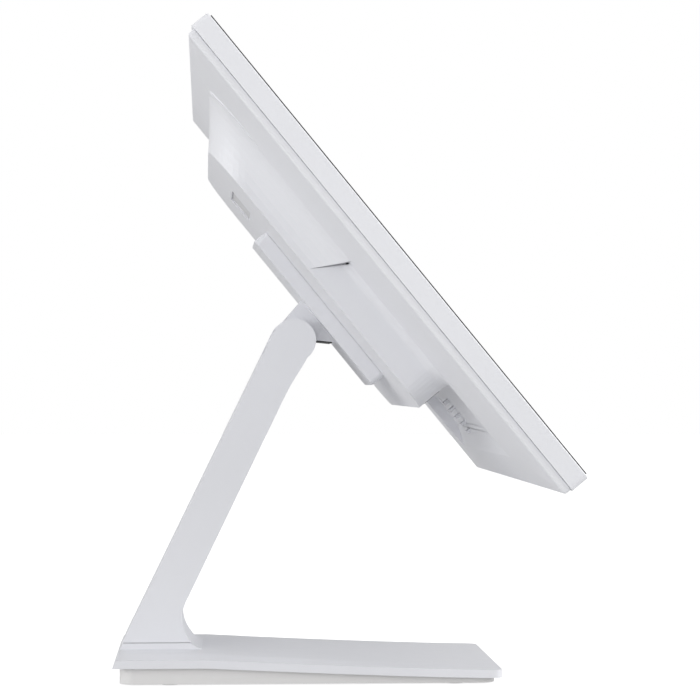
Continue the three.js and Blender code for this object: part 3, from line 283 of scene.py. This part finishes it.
def rubber(name):
    mat, tree, shader = blank(name, 0.85)
    vary_colour(tree, shader, 300, (0.016, 0.016, 0.017), (0.03, 0.03, 0.031))
    add_bump(tree, shader, noise(tree, 1500, 3.0), 0.6, 0.0001)
    return mat


def foam(name):
    mat, tree, shader = blank(name, 0.95)
    vary_colour(tree, shader, 900, (0.01, 0.01, 0.01), (0.035, 0.035, 0.035))
    add_bump(tree, shader, noise(tree, 1200, 3.0), 0.8, 0.0002)
    return mat


def solder_mask(name):
    """Green board: copper runs show as lighter stripes under the lacquer."""
    mat, tree, shader = blank(name, 0.35)
    runs = tree.nodes.new("ShaderNodeTexBrick")
    runs.inputs["Scale"].default_value = 220
    runs.inputs["Color1"].default_value = (0.008, 0.07, 0.03, 1)
    runs.inputs["Color2"].default_value = (0.006, 0.05, 0.022, 1)
    runs.inputs["Mortar"].default_value = (0.03, 0.16, 0.07, 1)
    runs.inputs["Mortar Size"].default_value = 0.03
    tree.links.new(local_coords(tree), runs.inputs["Vector"])
    tree.links.new(runs.outputs["Color"], shader.inputs["Base Color"])
    add_bump(tree, shader, noise(tree, 400, 2.0), 0.2, 0.00005)
    return mat


def inside_band(tree, direction, middle, half):
    """1 where the piece's own point lies within `half` of `middle` along a direction."""
    dot = tree.nodes.new("ShaderNodeVectorMath")
    dot.operation = "DOT_PRODUCT"
    dot.inputs[1].default_value = direction
    tree.links.new(local_coords(tree), dot.inputs[0])
    compare = tree.nodes.new("ShaderNodeMath")
    compare.operation = "COMPARE"
    compare.inputs[1].default_value = middle
    compare.inputs[2].default_value = half
    tree.links.new(dot.outputs["Value"], compare.inputs[0])
    return compare.outputs["Value"]


def screen_glass(name):
    """Black-printed cover glass with the switched-off display behind its clear window."""
    mat, tree, shader = blank(name, 0.06)
    low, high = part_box("lcd_panel")
    middle = (Vector(low) + Vector(high)) / 2
    across = inside_band(tree, (1, 0, 0), 0, DISPLAY_HALF_WIDTH)
    along = inside_band(tree, HEAD_UP, middle.dot(HEAD_UP), DISPLAY_HALF_HEIGHT)
    window = tree.nodes.new("ShaderNodeMath")
    window.operation = "MULTIPLY"
    tree.links.new(across, window.inputs[0])
    tree.links.new(along, window.inputs[1])
    colour = blend_colours(tree, window.outputs[0], PRINT_BLACK, PANEL_BLACK)
    tree.links.new(colour, shader.inputs["Base Color"])
    vary_roughness(tree, shader, 25, 0.04, 0.09)
    shader.inputs["Coat Weight"].default_value = 0.6
    shader.inputs["Coat Roughness"].default_value = 0.03
    return mat


def make_materials():
    """One material for each of the record's material slots."""
    return {
        "white_abs": moulded("white_abs", WHITE, 0.45),
        "white_paint": painted("white_paint", (0.79, 0.796, 0.828), 0.42),
        # a mid grey, darker than the white cover round it, for the blanking piece in its slot and
        # the seal round it
        "grey_abs": moulded("grey_abs", (0.66, 0.664, 0.68), 0.5),
        "warm_abs": moulded("warm_abs", (0.775, 0.768, 0.764), 0.5),
        "black_glass": screen_glass("black_glass"),
        "gasket_foam": foam("gasket_foam"),
        "panel_dark": moulded("panel_dark", (0.02, 0.02, 0.025), 0.4),
        "steel": brushed("steel", (0.5, 0.51, 0.52), 0.36),
        "zinc": brushed("zinc", (0.6, 0.61, 0.63), 0.3),
        "aluminium": brushed("aluminium", (0.55, 0.56, 0.58), 0.4, (1, 1, 40)),
        "board": solder_mask("board"),
        "black_plastic": moulded("black_plastic", (0.02, 0.02, 0.021), 0.5),
        "connector_shell": brushed("connector_shell", (0.6, 0.6, 0.62), 0.28),
        "rubber": rubber("rubber"),
    }


# ---------------------------------------------------------------- the CAD nodes

SLIVER_ANGLE = math.radians(0.6)     # a corner this close to straight makes a sliver


def drop_slivers(obj):
    """Drops the sliver triangles of a CAD node and leaves each face its own normal.

    The node's triangles share no vertices, so its facets and sharp edges stay as they are,
    and a hairline gap is left where a sliver was.
    """
    flatten = obj.modifiers.new("flatten", "DECIMATE")
    flatten.decimate_type = "DISSOLVE"
    flatten.angle_limit = SLIVER_ANGLE
    normals = obj.modifiers.new("normals", "WEIGHTED_NORMAL")
    normals.keep_sharp = True


def finish_cad_nodes(materials):
    """Gives every CAD node its material."""
    slots = {s["node"]: s["material_slot"] for s in frame["record"]["subparts"]}
    for name, node in frame["nodes"].items():
        node.data.materials.clear()
        node.data.materials.append(materials[slots[name]])
        drop_slivers(node)


# ---------------------------------------------------------------- added detail, in the head
# Sizes and places are in the head's frame and in millimetres, unless an edge's width is meant.

RIM_BACK = -46.5
HEAD_ENDS = (-136.9, 145.4)
COVER_HALF = 181.6
SEAM_BACK = (RIM_BACK - 3.97, RIM_BACK - 3.73)      # the gap between bezel and rear cover
HOUSING_BACK = RIM_BACK + 21.6
HINGE_HALF = 31                                     # the hinge bracket's plate
HINGE_ENDS = (-45, 54.9)
SLOT_HALF = 28                                      # the slot for the blanking piece
SLOT_ENDS = (67.8, 83.4)
PORT_FACE = -67.0
PORT_BASE = RIM_BACK + 7.9
PORT_X = {
    "dc": -80, "hdmi": -62, "lan": -41, "usb_left": -19, "usb_right": 1,
    "serial_left": 28, "serial_right": 64,
}

PIN_SIDES = 16
PIN_TIP = 1.2                # length of a pin's tapered end, as a share of its radius
PIN_TAPER = 0.45             # radius at its very end, likewise
DETAIL_SEGMENTS = 2
DETAIL_SHARP_ANGLE = math.radians(28)


def head_frame():
    """Matrix from the head's millimetres (x, back, up) to the world."""
    turn = Matrix((
        (1, 0, 0),
        (0, HEAD_BACK.y, HEAD_UP.y),
        (0, HEAD_BACK.z, HEAD_UP.z),
    )).to_4x4()
    return Matrix.Translation(HEAD_ORIGIN) @ turn @ Matrix.Scale(MM, 4)


def block(bm, x, back, up):
    """A box between pairs of limits along the head's three directions."""
    middle = [(a + b) / 2 for a, b in (x, back, up)]
    size = [b - a for a, b in (x, back, up)]
    place = Matrix.Translation(middle) @ Matrix.Diagonal((*size, 1))
    bmesh.ops.create_cube(bm, size=1, matrix=place)


def pin(bm, x, back, up, radius):
    """A round pin along the head's up direction, with its lower end tapered."""
    low, high = up
    tip = radius * PIN_TIP
    for start, end, r0, r1 in (
        (low, low + tip, radius * PIN_TAPER, radius),
        (low + tip, high, radius, radius),
    ):
        place = Matrix.Translation((x, back, (start + end) / 2))
        bmesh.ops.create_cone(
            bm, cap_ends=True, segments=PIN_SIDES, radius1=r0, radius2=r1,
            depth=end - start, matrix=place,
        )


def ring(bm, half, ends, wide, back):
    """Four bars round a rectangle, `wide` across and inside its outline."""
    low, high = ends
    for end in ((low, low + wide), (high - wide, high)):
        block(bm, (-half, half), back, end)
    for side in ((-half, -half + wide), (half - wide, half)):
        block(bm, side, back, (low + wide, high - wide))


def row(count, pitch):
    """Places of evenly spaced contacts, from the middle of their row."""
    return [(i - (count - 1) / 2) * pitch for i in range(count)]


def add_to_head(name, bm, mat, edge=0.0):
    """Makes a piece that rides on the head, its edges rounded by `edge` metres."""
    bm.transform(head_frame())
    bmesh.ops.recalc_face_normals(bm, faces=bm.faces)
    mesh = bpy.data.meshes.new(name)
    bm.to_mesh(mesh)
    bm.free()
    mesh.materials.append(mat)
    obj = bpy.data.objects.new(name, mesh)
    bpy.context.scene.collection.objects.link(obj)
    if edge:
        bevel = obj.modifiers.new("bevel", "BEVEL")
        bevel.width = edge
        bevel.segments = DETAIL_SEGMENTS
        bevel.limit_method = "ANGLE"
        bevel.angle_limit = DETAIL_SHARP_ANGLE
    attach(obj, "head")


def parting_tongue(mat):
    """The cover's tongue, which shows as the bottom of the seam round the bezel."""
    bm = bmesh.new()
    inset, wide = 0.55, 1.2
    ends = (HEAD_ENDS[0] + inset, HEAD_ENDS[1] - inset)
    ring(bm, COVER_HALF - inset, ends, wide, SEAM_BACK)
    add_to_head("parting_tongue", bm, mat)


def hinge_gasket(mat):
    """Thin pad between the hinge plate and the housing, let in a little all round."""
    bm = bmesh.new()
    inset = 0.45
    half = HINGE_HALF - inset
    ends = (HINGE_ENDS[0] + inset, HINGE_ENDS[1] - inset)
    block(bm, (-half, half), (HOUSING_BACK + 0.02, HOUSING_BACK + 0.28), ends)
    add_to_head("hinge_gasket", bm, mat)


def accessory_seal(mat):
    """Lip seal in the gap round the blanking piece, a little under its face."""
    bm = bmesh.new()
    play, wide = 0.02, 0.26
    ends = (SLOT_ENDS[0] + play, SLOT_ENDS[1] - play)
    ring(bm, SLOT_HALF - play, ends, wide, (HOUSING_BACK - 2.4, HOUSING_BACK - 1.1))
    add_to_head("accessory_seal", bm, mat)


def lan_detail(gold, lamp):
    """The eight springy contacts of a network socket, in five short steps each, and two lamps."""
    bm = bmesh.new()
    for offset in row(8, 1.02):
        x = PORT_X["lan"] + offset
        for step in range(5):
            up = PORT_FACE + 2.5 + step * 1.6
            back = PORT_BASE + 2.2 + step * 0.42
            block(bm, (x - 0.18, x + 0.18), (back, back + 0.6), (up, up + 1.7))
    add_to_head("lan_contacts", bm, gold)
    bm = bmesh.new()
    back = (PORT_BASE + 9.1, PORT_BASE + 10.1)
    up = (PORT_FACE - 0.15, PORT_FACE + 0.05)
    for side in (-1, 1):
        x = PORT_X["lan"] + side * 5.6
        block(bm, (x - 1.4, x + 1.4), back, up)
    add_to_head("lan_lamps", bm, lamp, 0.00008)


def sleeve(bm, x, half, back, up):
    """Plastic skin over a connector's tongue: two sides and a nose."""
    skin, play = 0.3, 0.03
    across = (x - half, x + half)
    nose = (up[0] - 0.35, up[0] - 0.02)
    block(bm, across, (back[0] - skin, back[0] - play), up)
    block(bm, across, (back[1] + play, back[1] + skin), up)
    block(bm, across, (back[0] - skin, back[1] + skin), nose)


def usb_detail(name, x, plastic, gold):
    """The two tongues of a double socket, with four contacts on each."""
    tongues = bmesh.new()
    contacts = bmesh.new()
    tongue_up = (PORT_FACE + 1.5, PORT_FACE + 10.5)
    contact_up = (PORT_FACE + 2.2, PORT_FACE + 9)
    for floor in (PORT_BASE + 2.2, PORT_BASE + 7.4):
        sleeve(tongues, x, 5.5, (floor, floor + 1.2), tongue_up)
        for offset in row(4, 2.3):
            at = x + offset
            block(contacts, (at - 0.55, at + 0.55), (floor + 1.5, floor + 1.62), contact_up)
    add_to_head(f"{name}_tongues", tongues, plastic, 0.0001)
    add_to_head(f"{name}_contacts", contacts, gold)


def hdmi_detail(plastic, gold):
    """The tongue of the display socket and the contacts on its back."""
    bm = bmesh.new()
    middle = PORT_BASE + 2.8
    x = PORT_X["hdmi"]
    sleeve(bm, x, 4.8, (middle - 0.6, middle + 0.6), (PORT_FACE + 1.5, PORT_FACE + 8.5))
    add_to_head("hdmi_tongue", bm, plastic, 0.0001)
    bm = bmesh.new()
    back = (middle + 0.9, middle + 1.0)
    up = (PORT_FACE + 2, PORT_FACE + 7.5)
    for offset in row(9, 1):
        at = x + offset
        block(bm, (at - 0.28, at + 0.28), back, up)
    add_to_head("hdmi_contacts", bm, gold)


def serial_detail(name, x, plastic, gold):
    """The nine pins of a D-sub socket and the black block that they stand in."""
    middle = PORT_BASE + 5.3
    bm = bmesh.new()
    back = (PORT_BASE + 2.1, PORT_BASE + 8.5)
    block(bm, (x - 7.8, x + 7.8), back, (PORT_FACE + 2.2, PORT_FACE + 2.95))
    add_to_head(f"{name}_insulator", bm, plastic, 0.0002)
    bm = bmesh.new()
    for count, back in ((5, middle + 1.42), (4, middle - 1.42)):
        for offset in row(count, 2.77):
            pin(bm, x + offset, back, (PORT_FACE - 2.4, PORT_FACE + 2.4), 0.5)
    add_to_head(f"{name}_pins", bm, gold)


def inlet_detail(metal):
    """Metal skin of the centre pin of the power inlet, and its spring contact."""
    bm = bmesh.new()
    x = PORT_X["dc"]
    middle = PORT_BASE + 5
    spring_up = (PORT_FACE + 1.5, PORT_FACE + 8.5)
    pin(bm, x, middle, (PORT_FACE + 0.5, PORT_FACE + 9), 1.2)
    block(bm, (x + 2.5, x + 2.9), (middle - 0.9, middle + 0.9), spring_up)
    add_to_head("dc_inlet_pin", bm, metal)


def add_head_detail(materials):
    white = materials["white_abs"]
    black = materials["black_plastic"]
    gold = brushed("gold_plate", (0.75, 0.52, 0.2), 0.25)
    lamp = moulded("lamp_lens", (0.28, 0.5, 0.22), 0.2)
    parting_tongue(white)
    hinge_gasket(white)
    accessory_seal(materials["grey_abs"])
    lan_detail(gold, lamp)
    usb_detail("usb_left", PORT_X["usb_left"], black, gold)
    usb_detail("usb_right", PORT_X["usb_right"], black, gold)
    hdmi_detail(black, gold)
    serial_detail("serial_left", PORT_X["serial_left"], black, gold)
    serial_detail("serial_right", PORT_X["serial_right"], black, gold)
    inlet_detail(materials["connector_shell"])


# ---------------------------------------------------------------- the scene

make_camera()
make_world()
for light in LIGHTS:
    soft_box(*light)
make_floor()
materials = make_materials()
finish_cad_nodes(materials)
add_head_detail(materials)
bpy.context.scene.view_settings.view_transform = "Standard"
